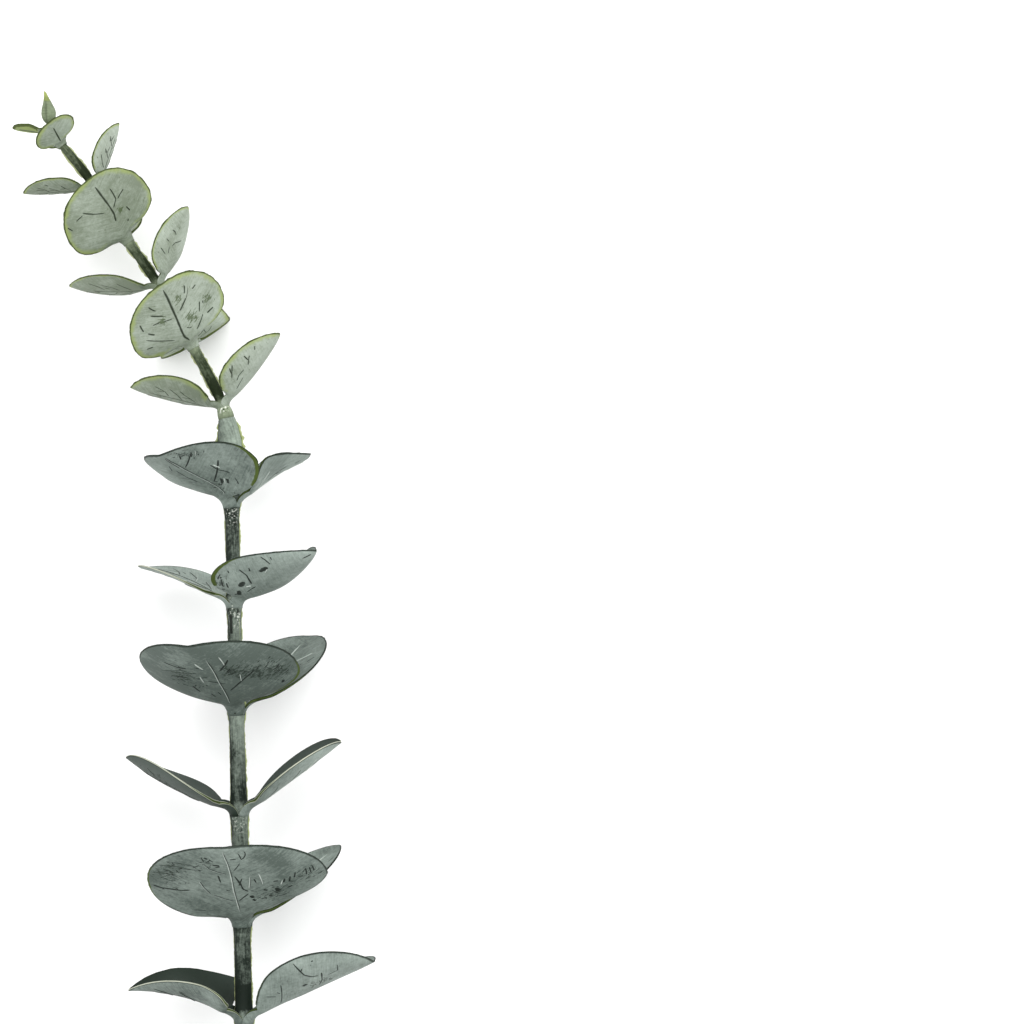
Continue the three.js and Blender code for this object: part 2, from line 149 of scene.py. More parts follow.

# Moulded strokes of leaves: [kind, half width, (along, across), ...], spots in hundredths of
# the blade. rib: raised, its crest partly paler paint and partly painted highlight, and one
# flank painted shade. cut: sunk and dark. dark: a soft dark line. chip: rubbed.
VEINS = {
    "leaf_11_front": [
        ["rib", 0.3, (8, 5), (22, 3), (40, 2), (60, 3), (80, 3), (95, 0)],
        ["rib", 0.24, (63, -1), (66, -12), (70, -23), (78, -34)],
        ["rib", 0.2, (24, 0), (28, -13), (33, -25)], ["rib", 0.24, (33, -27), (43, -33), (52, -37)],
        ["cut", 0.18, (87, -42), (80, -32)], ["chip", 0.35, (86, -36), (84, -28)],
        ["cut", 0.35, (76, -20), (75, -8)], ["cut", 0.2, (72, -16), (74, -8)],
        ["cut", 0.2, (84, 7), (85, 18)], ["cut", 0.2, (93, 30), (84, 24), (86, 30), (95, 50)],
        ["cut", 0.16, (67, 6), (80, 20)], ["chip", 0.34, (62, 6), (52, 10), (42, 12), (38, 18)],
        ["cut", 0.2, (58, 14), (46, 8)], ["rib", 0.22, (42, 18), (60, 23)],
        ["rib", 0.22, (63, 33), (47, 33)], ["cut", 0.22, (56, 26), (50, 27)],
        ["cut", 0.2, (24, 5), (36, 18)], ["chip", 0.75, (33, 20), (28, 23)],
        ["chip", 0.5, (27, 22), (24, 27)], ["chip", 0.4, (40, 33), (38, 38)],
        ["chip", 0.3, (30, 40), (30, 45)], ["chip", 0.8, (41, 46), (34, 51)],
        ["cut", 0.3, (50, 44), (50, 50)], ["cut", 0.26, (46, 54), (52, 57)],
        ["rib", 0.2, (44, 51), (50, 54)], ["cut", 0.26, (46, 60), (54, 63)],
        ["cut", 0.24, (50, 66), (58, 70)], ["chip", 0.34, (38, 58), (40, 64)],
        ["cut", 0.24, (50, 79), (60, 82)], ["cut", 0.24, (51, 84), (60, 86)],
        ["cut", 0.22, (53, 88), (62, 90)],
        ["dark", 0.32, (43, -95), (40, -85), (37.5, -62), (38.5, -50)],
        ["dark", 0.14, (72, -95), (72, -70), (68, -45)],
        ["dark", 0.14, (78, -90), (76, -60), (72, -40)], ["dark", 0.12, (62, -95), (60, -65)],
        ["dark", 0.12, (68, -30), (68, -60)], ["dark", 0.12, (12, -70), (11, -50)],
        ["chip", 0.25, (40, -7), (40, -2)], ["cut", 0.24, (62, -13), (50, -11)],
    ],
    "leaf_09_front": [
        ["rib", 0.3, (4, 6), (20, 7), (40, 8), (60, 11), (78, 13)], ["rib", 0.2, (72, -8), (62, 0)],
        ["cut", 0.28, (57, 16), (75, 42)], ["rib", 0.22, (80, 34), (66, 29)],
        ["cut", 0.24, (24, 13), (38, 33), (52, 56)], ["rib", 0.2, (50, 37), (38, 33)],
        ["dark", 0.3, (70, -60), (64, -38), (63, -24)], ["dark", 0.28, (47, -55), (47, -30)],
        ["rib", 0.2, (50, -12), (40, -12)], ["chip", 0.3, (36, -12), (34, -10)],
        ["cut", 0.36, (33, -33), (22, -30)], ["cut", 0.24, (21, -15), (15, -12)],
        ["dark", 0.2, (43, -6), (40, 4), (37, 14)], ["dark", 0.16, (50, 0), (46, -20)],
        ["cut", 0.22, (24, -2), (18, 0)], ["chip", 0.45, (25, 80), (20, 80)],
        ["dark", 0.14, (60, -30), (52, -70)], ["dark", 0.14, (56, -10), (54, -50)],
    ],
    "leaf_08_front": [
        ["cut", 0.26, (37, -78), (35, -58), (26, -33)], ["cut", 0.2, (46, -72), (42, -62)],
        ["cut", 0.2, (66, -92), (66, -80), (64, -60)], ["cut", 0.2, (72, -86), (70, -74)],
        ["chip", 0.8, (47, -52), (60, -56)], ["rib", 0.2, (50, -44), (56, -50)],
        ["chip", 0.9, (26, -50), (16, -45)], ["chip", 0.6, (12, -44), (4, -38)],
        ["cut", 0.3, (2, -62), (6, -40)], ["rib", 0.2, (20, -38), (24, -32)],
        ["cut", 0.24, (12, -26), (26, -24)], ["cut", 0.2, (20, -90), (14, -88)],
        ["cut", 0.2, (28, -86), (26, -80)], ["dark", 0.3, (86, -30), (95, -20)],
    ],
    "leaf_07_front": [
        ["rib", 0.3, (2, 40), (10, 24), (22, 13), (37, 6), (57, 1), (80, 0), (94, 2)],
        ["cut", 0.28, (54, 58), (36, 36), (22, 17)], ["cut", 0.24, (51, 38), (38, 40), (27, 53)],
        ["rib", 0.22, (49, 42), (40, 46)], ["cut", 0.26, (84, 56), (76, 34), (60, 2)],
        ["rib", 0.22, (83, 62), (74, 42)], ["cut", 0.28, (86, 30), (78, 18)],
        ["cut", 0.2, (92, -2), (78, -5), (62, -5)], ["chip", 0.5, (25, 34), (17, 30)],
        ["chip", 0.5, (22, 43), (15, 42)], ["rib", 0.2, (24, 38), (16, 36)],
        ["dark", 0.18, (62, -20), (44, -16), (30, -6)], ["dark", 0.14, (74, -20), (60, -30)],
        ["dark", 0.2, (20, 56), (12, 64)],
    ],
    "leaf_12_right": [
        ["cut", 0.28, (54, -96), (54, -76), (54, -62), (57, -50), (62, -45)],
        ["cut", 0.2, (54, -72), (57, -78)], ["cut", 0.24, (66, -53), (60, -27), (52, -6)],
        ["cut", 0.16, (80, -62), (76, -40), (66, -35)], ["chip", 0.9, (44, -34), (49, -36)],
        ["cut", 0.2, (34, -70), (27, -45), (18, -15)], ["cut", 0.16, (26, -60), (27, -50)],
        ["dark", 0.14, (17, -77), (23, -50)], ["chip", 0.3, (66, -85), (68, -86)],
    ],
    "leaf_05_front": [
        ["dark", 0.3, (0, 0), (10, -7), (22, -6), (42, -4), (62, -3), (80, -2), (93, -4)],
        ["dark", 0.2, (80, 49), (68, 33)], ["dark", 0.2, (62, 31), (57, 20), (50, 7)],
        ["rib", 0.14, (74, 52), (62, 33), (50, 10)], ["dark", 0.2, (67, 53), (69, 66)],
        ["dark", 0.22, (45, 50), (30, 40)], ["dark", 0.2, (42, 56), (38, 54)],
        ["dark", 0.22, (22, 54), (23, 72)], ["dark", 0.18, (25, 46), (18, 37), (10, 26)],
        ["dark", 0.22, (82, -57), (70, -37)], ["dark", 0.24, (69, -53), (57, -24)],
        ["dark", 0.2, (54, -52), (52, -36)], ["dark", 0.15, (50, -30), (46, -10)],
        ["dark", 0.24, (47, -66), (39, -54)], ["dark", 0.2, (65, -78), (52, -72)],
        ["dark", 0.15, (40, -75), (27, -52), (13, -28)], ["dark", 0.16, (27, -82), (24, -68)],
        ["dark", 0.15, (22, 6), (19, 10), (18, 16)],
    ],
    "leaf_03_front": [
        ["dark", 0.28, (24, 3), (36, 9), (50, 10), (70, 10), (87, 12)],
        ["dark", 0.18, (71, 36), (52, 30), (43, 14)], ["dark", 0.18, (56, 57), (53, 42), (50, 33)],
        ["dark", 0.2, (33, 38), (24, 41)], ["dark", 0.16, (17, 30), (14, 27)],
        ["dark", 0.17, (67, -50), (55, -28), (45, -6)], ["dark", 0.15, (62, -70), (63, -50)],
        ["dark", 0.15, (62, -93), (53, -83)],
    ],
    "leaf_04_right": [
        ["dark", 0.15, (40, -35), (30, -30)], ["dark", 0.15, (36, -72), (28, -42)],
        ["dark", 0.15, (42, -22), (47, -10), (52, 30)], ["dark", 0.15, (50, -60), (47, -45)],
        ["dark", 0.15, (64, -50), (62, -32), (58, -20)],
    ],
    "leaf_06_right": [
        ["dark", 0.16, (58, -75), (55, -50)], ["dark", 0.16, (62, -62), (48, -38)],
        ["dark", 0.16, (75, -75), (70, -60)], ["dark", 0.16, (36, -85), (30, -70)],
        ["dark", 0.16, (42, -85), (24, -60)], ["dark", 0.16, (42, -42), (32, -45), (24, -40)],
        ["dark", 0.16, (33, -25), (12, -20)],
    ],
}


def smooth(x):
    c = np.clip(x, 0.0, 1.0)
    return c * c * (3 - 2 * c)


def unit(v):
    return v / np.linalg.norm(v, axis=-1, keepdims=True)


def turned(v, axis, angle):
    c, s = math.cos(angle), math.sin(angle)
    return v * c + np.cross(axis, v) * s + axis * np.dot(axis, v) * (1 - c)


def stem_frame(station):
    """Centre and axes of the stem at each station number."""
    station = np.asarray(station, float)
    low = np.clip(np.floor(station).astype(int), 0, LAST - 1)
    w = (station - low)[..., None]
    a, b = POINTS[low], POINTS[low + 1]
    before = np.where((low > 0)[..., None], POINTS[np.maximum(low - 1, 0)], 2 * a - b)
    after = np.where((low < LAST - 1)[..., None], POINTS[np.minimum(low + 2, LAST)], 2 * b - a)
    u, v = (b - before) / 2, (after - a) / 2
    point = (2 * w**3 - 3 * w**2 + 1) * a + (w**3 - 2 * w**2 + w) * u
    point += (-2 * w**3 + 3 * w**2) * b + (w**3 - w**2) * v
    along = (6 * w**2 - 6 * w) * (a - b) + (3 * w**2 - 4 * w + 1) * u + (3 * w**2 - 2 * w) * v
    along = unit(along)
    right = unit(np.cross(along, [0.0, 0.0, 1.0]))
    return point, along, right, np.cross(right, along)


FINE = np.linspace(0, LAST, LAST * 60 + 1)
RUN = np.concatenate([[0], np.cumsum(np.linalg.norm(np.diff(stem_frame(FINE)[0], axis=0), axis=1))])


def run_at(station):
    """Length along the stem at a station number."""
    return np.interp(station, FINE, RUN)


class Blade:
    """The midrib of one leaf and the form of the blade around it."""

    def __init__(self, name, leaf):
        self.leaf = leaf
        self.name = name
        index = at_node(leaf["at"])
        self.spray = index >= at_node("n06")
        self.radius = RADII[index]
        self.neck = 4.5 if self.radius > 1.9 else 3.0 if self.radius > 1.25 else 1.6
        self.long = leaf["long"]
        self.total = self.neck + self.long
        self.thick = 0.7 if self.spray else 0.8
        point, along, right, up = stem_frame(index)
        turn = math.radians(leaf["turn"])
        out = right * math.cos(turn) + up * math.sin(turn)
        side = np.cross(along, out)
        pos = point - along * 0.75 * self.neck + out * (self.radius + 0.75)
        heading = turned(out, side, -STEEP)
        normal = np.cross(heading, side)
        if normal @ out > 0:
            normal = -normal
        rise, curl = math.radians(leaf["rise"]), math.radians(leaf.get("curl", 0))
        roll, twist = math.radians(leaf.get("roll", 0)), math.radians(leaf.get("twist", 0))
        step = self.total / MIDRIB_STEPS
        last_pitch, last_roll = STEEP, 0.0
        rows = []
        for i in range(MIDRIB_STEPS + 1):
            s = i * step
            x = max(0.0, (s - self.neck) / self.long)
            bend = smooth(s / self.neck)
            ramp = x
            if "late" in leaf:
                ramp = smooth((x - leaf["late"]) / (leaf["until"] - leaf["late"]))
            pitch = STEEP * (1 - bend) + rise * bend + curl * ramp
            rolled = roll * smooth(s / (self.neck + 0.35 * self.long)) + twist * smooth(x)
            heading = turned(heading, side, last_pitch - pitch)
            normal = turned(normal, side, last_pitch - pitch)
            side, normal = (turned(v, heading, rolled - last_roll) for v in (side, normal))
            last_pitch, last_roll = pitch, rolled
            if i:
                pos = pos + heading * step
            sunk = out * 0.6 * (1 - smooth(s / (1.3 * self.neck)))
            rows.append((pos - sunk, heading, side, normal))
        self.path, self.heading, self.side, self.normal = (np.array(c) for c in zip(*rows))

    def each(self, key, plain, right):
        value = self.leaf.get(key, plain)
        low, high = value if isinstance(value, list) else (value, value)
        return np.where(right, high, low)

    def outline(self, s, v):
        """Half width, share of the way out (1 at the edge) and the slope of that share."""
        right = v > 0
        x = np.clip((s - self.neck) / self.long, 0, 1)
        widest = self.leaf.get("widest", 0.45)
        base = x < widest
        e = np.where(base, (widest - x) / widest, (x - widest) / (1 - widest))
        power = np.where(base, self.each("power", 2, right), 2)
        half = self.leaf["wide"] / 2
        point = np.where(base, 0.5, self.leaf.get("point", 0.5))
        blade = np.where(s > self.neck, half * np.maximum(0, 1 - e**power) ** point, 0)
        collar = WRAP * (self.radius + 0.3) * (1 - 0.9 * x)
        width = np.where(base, (collar**4 + blade**4) ** 0.25, blade)
        eased = smooth(s / (self.neck * 1.8))
        lopsided = 1 + self.leaf.get("skew", 0) * np.where(right, 1, -1) * eased
        width = np.maximum(width * lopsided, 0.02)
        reach = np.where(base, -power * e ** (power - 1) / widest, 2 * e / (1 - widest)) / self.long
        spread = 2 * np.abs(v) * blade / half**2 + 1e-6
        steep = np.hypot(reach, spread)
        share = v**2 * (1 - e**power) + e**power
        inside = np.where(s > self.neck, (1 - share) / steep, 99)
        inside = np.minimum(inside, (1 - np.abs(v)) * width)
        on_blade = smooth((s - self.neck) / (0.3 * self.neck))
        push = np.stack([reach / steep * on_blade, spread / steep * on_blade + 1 - on_blade], -1)
        return width, inside, push, x, eased

    def place(self, s, v, w, lift=0.0, rim=0.0):
        """Points of the blade: s along in mm, v across -1..1, w through -1..1."""
        s, v, w = np.broadcast_arrays(*(np.asarray(c, float) for c in (s, v, w)))
        at = np.clip(s / self.total * MIDRIB_STEPS, 0, MIDRIB_STEPS - 1e-6)
        low = at.astype(int)
        mix = (at - low)[:, None]
        path, heading, side, normal = (
            row[low] * (1 - mix) + row[low + 1] * mix
            for row in (self.path, self.heading, self.side, self.normal)
        )
        heading, side, normal = unit(heading), unit(side), unit(normal)
        right = v > 0
        sign = np.where(right, 1.0, -1.0)
        width, inside, push, x, eased = self.outline(s, v)
        close = smooth(s / (self.neck * 1.45))
        beta = WRAP * (1 - close) + np.radians(self.each("cup", 20, right)) * close
        bow = beta / width
        angle = bow * np.abs(v) * width
        lateral, raised = np.sin(angle) / bow, (1 - np.cos(angle)) / bow
        back = self.each("lobe", 0, right) * eased * v**2 * np.maximum(0, 1 - x / 0.6) ** 2
        across = side * (sign * np.cos(angle))[:, None] + normal * np.sin(angle)[:, None]
        face = normal * np.cos(angle)[:, None] - side * (sign * np.sin(angle))[:, None]
        stout = 0.35 if self.spray else 0.75
        edge = (0.38 if self.spray else 0.46) + stout * np.maximum(0, 1 - x / 0.42) ** 2
        thick = self.thick + (edge - self.thick) * v**4
        thick = thick * (0.35 + 0.65 * smooth(s / self.neck)) * (1 - 0.35 * smooth((x - 0.8) / 0.2))
        pos = path + side * (lateral * sign)[:, None] + normal * raised[:, None]
        pos = pos - heading * back[:, None]
        pos = pos + face * (w * thick / 2 + np.sign(w) * lift)[:, None]
        bulge = rim * (1 - w**2)
        pos = pos + (heading * push[:, :1] + across * push[:, 1:]) * np.reshape(bulge, (-1, 1))
        if self.leaf.get("flat"):
            floor = np.maximum(0, w) * self.thick + 0.02
            pos[:, 2] = np.maximum(pos[:, 2], floor)
        return pos


LAYERS = ("edge", "wall", "mark", "wear", "tone", "pale", "moss")


def open_mesh():
    bm = bmesh.new()
    for name in ("along", "across", "through") + LAYERS:
        bm.verts.layers.float.new(name)
    bm.verts.layers.float_vector.new("grain")
    return bm


def write(bm, verts, places, **values):
    """Moves the vertices to their places, in millimetres, and fills in their layers."""
    layers = {name: bm.verts.layers.float[name] for name in values if name != "grain"}
    grain = bm.verts.layers.float_vector["grain"]
    values = {name: np.broadcast_to(v, (len(verts),) + np.shape(v)[1:]) for name, v in values.items()}
    for i, vert in enumerate(verts):
        vert.co = places[i]
        for name, layer in layers.items():
            vert[layer] = float(values[name][i])
        if "grain" in values:
            vert[grain] = values["grain"][i]


def grid(bm, columns, rows):
    """A flat grid; gives its vertices with their column and row position, each 0 to 1."""
    made = bmesh.ops.create_grid(bm, x_segments=columns, y_segments=rows, size=0.5)["verts"]
    return made, np.array([(v.co.x + 0.5, v.co.y + 0.5) for v in made])


def rough(places, size, seed):
    """Smooth seeded noise, about -1 to 1, at points given in millimetres."""
    shift = Vector((seed * 13.7, seed * 5.1, seed * 9.3))
    return np.array([noise.noise(Vector(p) / size + shift) for p in places]) * 1.6


def finish_piece(bm, name, node, slot, *finishes):
    for vert in bm.verts:
        vert.co *= 0.001
    bm.normal_update()
    mesh = bpy.data.meshes.new(name)
    bm.to_mesh(mesh)
    bm.free()
    for polygon in mesh.polygons:
        polygon.use_smooth = True
    for finish in finishes:
        mesh.materials.append(finish)
    piece = bpy.data.objects.new(name, mesh)
    bpy.context.scene.collection.objects.link(piece)
    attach(piece, "root")
    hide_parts(node)
    return piece


def blade_shell(bm, blade):
    """The leaf itself: a sheet laid out flat, doubled, walled in and bent onto its midrib."""
    seed = sum(map(ord, blade.name)) % 97
    columns, rows = (28, 44) if blade.long < SMALL_LEAF else (56, 76)
    verts, spots = grid(bm, columns, rows)
    along, across, through = (bm.verts.layers.float[n] for n in ("along", "across", "through"))
    t = spots[:, 0] * 2 - 1
    v = 0.75 * np.sin(t * math.pi / 2) + 0.25 * t
    neck, middle = 0.12, 0.52
    q = spots[:, 1]
    widest = blade.leaf.get("widest", 0.45)
    base = widest * (1 - np.cos(np.clip((q - neck) / (middle - neck), 0, 1) * math.pi / 2))
    tip = (1 - widest) * np.sin(np.clip((q - middle) / (1 - middle), 0, 0.996) * math.pi / 2)
    s = np.where(q < neck, blade.neck * q / neck, blade.neck + blade.long * (base + tip))
    for i, vert in enumerate(verts):
        vert[along], vert[across], vert[through] = s[i], v[i], -1
    under = bm.faces[:]
    doubled = bmesh.ops.duplicate(bm, geom=bm.verts[:] + bm.edges[:] + bm.faces[:])["geom"]
    upper = [g for g in doubled if isinstance(g, bmesh.types.BMVert)]
    for vert in upper:
        vert.co.z += 1
        vert[through] = 1
    bmesh.ops.reverse_faces(bm, faces=under)
    border = [e for e in bm.edges if e.is_boundary]
    walls = bmesh.ops.bridge_loops(bm, edges=border)["edges"]
    bmesh.ops.subdivide_edges(bm, edges=walls, cuts=3)
    verts = bm.verts[:]
    s, v, w = (np.array([x[layer] for x in verts]) for layer in (along, across, through))
    flat = blade.place(s, v, np.zeros_like(w))
    ragged = 0.12 + 0.14 * rough(flat, 2.2, seed) + 0.12 * np.maximum(0, rough(flat, 0.8, seed + 3))
    if blade.spray:
        ragged = ragged * 1.3
    width, inside, push, x, eased = blade.outline(s, v)
    ragged = ragged * smooth((s - 0.6 * blade.neck) / blade.neck)
    places = blade.place(s, v, w, rim=np.where(np.abs(w) < 0.99, ragged, 0))
    wall = np.clip(1.35 - np.abs(w), 0, 1) * (np.abs(w) < 0.99)
    stout = np.clip(1 - x / 0.55, 0, 1)
    wear = 0.12 + 0.1 * np.maximum(0, rough(flat, 9, seed + 7))
    for where, side, size in blade.leaf.get("wear", []):
        wear = wear + 0.75 * np.exp(-(((x - where) / size) ** 2) - ((v - side) / (size * 1.3)) ** 2)
    lateral = v * width
    grain = np.stack([s - np.abs(lateral) * 0.55, lateral, np.full_like(s, seed * 3.0)], -1)
    tone = blade.leaf.get("tone", 0)
    moss_at, moss_side = blade.leaf.get("moss", [0, 0])
    moss = np.clip(v * moss_side, 0, 1) * np.exp(-(((x - moss_at) / 0.28) ** 2)) * (w < 0)
    past_neck = smooth((s - 0.6 * blade.neck) / blade.neck)
    inside = inside * blade.leaf.get("fresh", 1) + 9 * (1 - past_neck)
    # Painted shade in the tone layer: the first 2.5 mm of each neck darkens where the leaf meets the
    # stem, and the upper face takes the darker upper-face tone.
    write(bm, verts, places, edge=inside, wall=wall * (0.45 + 0.55 * stout), mark=0, wear=wear,
          tone=(np.where(w > 0, blade.leaf.get("upper_face_shade", tone), tone)
                + 0.2 * rough(flat, 12, seed + 11) - 0.5 * (1 - smooth(s / 2.5))),
          pale=blade.leaf.get("pale", 0), moss=moss, grain=grain)


# Kinds of stroke: its height, and its shade (1 pale, -1 dark) from one side to the other.
# The pale crest of a rib and the pale side of the other strokes are painted highlight,
# partly paler paint too; the dark far flank of a rib is painted shade.
STROKES = {
    "rib": (0.26, [0.3, 1.2, 1.1, -1, -0.5]),
    "cut": (0.06, [0.2, -0.9, -1.1, -0.8, 0.7]),
    "dark": (0.09, [0.2, -0.9, -1.1, -0.7, 0.5]),
    "chip": (0.035, [0.5, -0.9, -1, -1, -0.2]),
}


def mark_strip(bm, blade, kind, half, spots, under):
    """One moulded stroke that lies on a face of the leaf, its sides sunk into the face."""
    steps = 4 * (len(spots) - 1) + 2
    verts, where = grid(bm, 4, steps)
    stations = np.linspace(0, 1, len(spots))
    t, u = where[:, 1], where[:, 0] * 2 - 1
    x = np.interp(t, stations, [p[0] for p in spots])
    v = np.interp(t, stations, [p[1] for p in spots])
    s = blade.neck + x * blade.long
    width = blade.outline(s, v)[0]
    lat = v * width
    corners = np.array(spots)
    corner_s = blade.neck + corners[:, 0] * blade.long
    corner_lat = corners[:, 1] * blade.outline(corner_s, corners[:, 1])[0]
    fine = np.linspace(0, 1, 41)
    ds, dl = (
        np.interp(t, fine, np.gradient(np.interp(fine, stations, c)))
        for c in (corner_s, corner_lat)
    )
    norm = np.hypot(ds, dl) + 1e-6
    seed = len(spots) * 3 + int(abs(spots[0][0] * 100)) + int(abs(spots[-1][1] * 100))
    wobble = rough(np.stack([s, lat, t * 5], -1), 0.7 if kind == "chip" else 2.0, seed)
    taper = np.minimum(1, np.minimum(t, 1 - t) * (5 if kind == "chip" else 9) + 0.2)
    wider = 1.1 if kind == "rib" else 1.8 if blade.spray else 1.45
    reach = half * wider * taper * (1 + (0.45 if kind == "chip" else 0.25) * wobble)
    s2, lat2 = s - dl / norm * u * reach, lat + ds / norm * u * reach
    v2 = lat2 / blade.outline(s2, np.where(lat2 > 0, 0.5, -0.5))[0]
    height, shades = STROKES[kind]
    crown = np.interp(np.abs(u), [0, 0.5, 1], [1, 0.75, 0]) * taper
    lift = height * crown - 0.07 * (np.abs(u) > 0.9) - 0.05 * ((t < 0.01) | (t > 0.99))
    mark = np.interp(u, [-1, -0.5, 0, 0.5, 1], shades)
    w = np.full_like(s2, -1.0 if under else 1.0)
    places = blade.place(s2, np.clip(v2, -0.98, 0.98), w, lift=lift)
    seed = sum(map(ord, blade.name)) % 97
    grain = np.stack([s2 - np.abs(lat2) * 0.55, lat2, np.full_like(s2, seed * 3.0)], -1)
    write(bm, verts, places, edge=9, wall=0, mark=mark, wear=0, pale=0,
          tone=blade.leaf.get("tone" if under else "upper_face_shade", blade.leaf.get("tone", 0)),
          grain=grain)
    faces = {f for vert in verts for f in vert.link_faces}
    face = next(iter(faces))
    face.normal_update()
    outward = blade.place(s2[:1], v2[:1], w[:1], lift=1)[0] - blade.place(s2[:1], v2[:1], w[:1])[0]
    if face.normal @ Vector(outward) < 0:
        bmesh.ops.reverse_faces(bm, faces=list(faces))


def plain_marks(blade):
    """Veins for a leaf that has no list of its own: a midrib, broken side veins, short strokes."""
    pick = random.Random(blade.name)
    rib, cut, small = ("dark", "dark", 0.17) if blade.spray else ("rib", "cut", 0.26)
    sway = pick.uniform(-0.02, 0.02)
    marks = [[rib, small * 1.2, (0.0, 0.0), (0.35, sway), (pick.uniform(0.7, 0.9), 0.0)]]
    if blade.long < SMALL_LEAF:
        return marks
    for sign in (-1, 1):
        for start in (0.16, 0.36, 0.56):
            a = start + pick.uniform(-0.05, 0.05)
            b = sign * pick.uniform(0.04, 0.16)
            c = sign * pick.uniform(0.4, 0.68)
            bend = (a + pick.uniform(0.06, 0.1), (b + c) / 2)
            end = (a + pick.uniform(0.16, 0.24), c)
            marks.append([pick.choice([rib, cut]), small * 0.8, (a, b), bend, end])
            if pick.random() < 0.6:
                fork = (bend[0] + pick.uniform(0.1, 0.16), bend[1] * pick.uniform(0.7, 0.9))
                marks.append([cut, small * 0.7, bend, fork])
    for _ in range(4):
        x, v = pick.uniform(0.2, 0.75), pick.uniform(-0.7, 0.7)
        marks.append([cut, small * 0.8, (x, v), (x + 0.07, v * 1.25)])
    return marks


def scratches(blade):
    """Short strokes and chips strewn over the rubbed places of a leaf."""
    pick = random.Random(blade.name + "rubbed")
    marks = []
    for where, side, size in [] if blade.spray else blade.leaf.get("wear", []):
        for _ in range(int(110 * size)):
            x, v = pick.gauss(where, 0.5 * size), pick.gauss(side, 0.6 * size)
            long = pick.uniform(0.02, 0.09)
            slant = 0.55 * math.copysign(long, v) * pick.uniform(0.2, 1.4)
            end = (x + slant, v + long * pick.choice([-1, 1]))
            inside = 0.06 < min(x, end[0]) and max(x, end[0]) < 0.94
            if inside and abs(v) < 0.85 and abs(end[1]) < 0.9:
                kind = pick.choice(["dark", "cut", "cut", "chip"])
                marks.append([kind, pick.uniform(0.1, 0.22), (x, v), end])
    return marks


def build_leaf(name, leaf):
    blade = Blade(name, leaf)
    bm = open_mesh()
    blade_shell(bm, blade)
    placed = [[kind, half] + [(x / 100, v / 100) for x, v in spots]
              for kind, half, *spots in VEINS.get(name, [])]
    for kind, half, *spots in (placed or plain_marks(blade)) + scratches(blade):
        for under in (True, False):
            mark_strip(bm, blade, kind, half, spots, under)
    slot, finish = ("spray_leaf", SPRAY_LEAF) if blade.spray else ("leaf", GREY_LEAF)
    return finish_piece(bm, "moulded_" + name, name, slot, finish)


# ---------------------------------------------------------------- stems

def swell(station, names, size, below, spread):
    """Thickening of the stem just under each of these nodes."""
    here = run_at(station)
    total = np.zeros_like(here)
    for name in names:
        total += size * np.exp(-(((here - run_at(at_node(name)) + below) / spread) ** 2))
    return total


RIM = at_node("top") + 0.62
SEVEN = at_node("n07")
GREY_NODES = ("n14", "n13", "n12", "n11", "n10", "n09", "n08", "n07")
SPRAY_NODES = ("n05", "n04", "n03", "n02")


def main_radius(station):
    bare = np.interp(station, np.arange(LAST + 1), RADII) - 0.1
    sleeve_at = [SEVEN + 0.15, SEVEN + 0.5, SEVEN + 0.8, SEVEN + 1.0, SEVEN + 1.2, SEVEN + 1.4, RIM]
    sleeve = np.interp(station, sleeve_at, [2.3, 2.9, 3.45, 3.6, 3.35, 2.95, 2.55])
    blend = smooth((station - SEVEN - 0.1) / 0.3)
    return bare * (1 - blend) + sleeve * blend + swell(station, GREY_NODES, 0.5, 1.6, 2.8)


def spray_radius(station):
    bare = np.interp(station, np.arange(LAST + 1), RADII)
    boss = 0.85 * smooth((at_node("n06") + 0.05 - station) / 0.35)
    return bare + boss + swell(station, SPRAY_NODES, 0.3, 1.2, 2.0)


def stretch_of(station, first, soft_in, last, soft_out):
    """1 between two nodes of the stem, easing in and out past each of them."""
    eased_in = smooth((station - at_node(first)) / soft_in)
    return eased_in * (1 - smooth((station - at_node(last)) / soft_out))


def stem_tube(bm, profile, around, seed, lump):
    """A tube bent along the stem; profile rows are (radius, station)."""
    profile = np.array(profile)
    bmesh.ops.create_cone(bm, cap_ends=True, segments=around, radius1=1, radius2=1, depth=1)
    upright = [e for e in bm.edges if abs(e.verts[0].co.z - e.verts[1].co.z) > 0.5]
    bmesh.ops.subdivide_edges(bm, edges=upright, cuts=len(profile) - 2)
    verts = bm.verts[:]
    ring = np.array([round((v.co.z + 0.5) * (len(profile) - 1)) for v in verts])
    angle = np.array([math.atan2(v.co.y, v.co.x) for v in verts])
    radius, station = profile[ring, 0], profile[ring, 1]
    point, along, right, up = stem_frame(station)
    out = right * np.cos(angle)[:, None] + up * np.sin(angle)[:, None]
    on_skin = point + out * radius[:, None]
    bump = lump * (0.6 * rough(on_skin, 3.0, seed) + 0.4 * rough(on_skin, 1.0, seed + 1))
    places = point + out * (radius + bump)[:, None]
    here = run_at(station)
    grain = np.stack([angle * radius, here, np.full_like(here, seed)], -1)
    write(bm, verts, places, edge=9, wall=0, mark=0, wear=0, tone=0, pale=0, grain=grain)
    return verts, station, angle


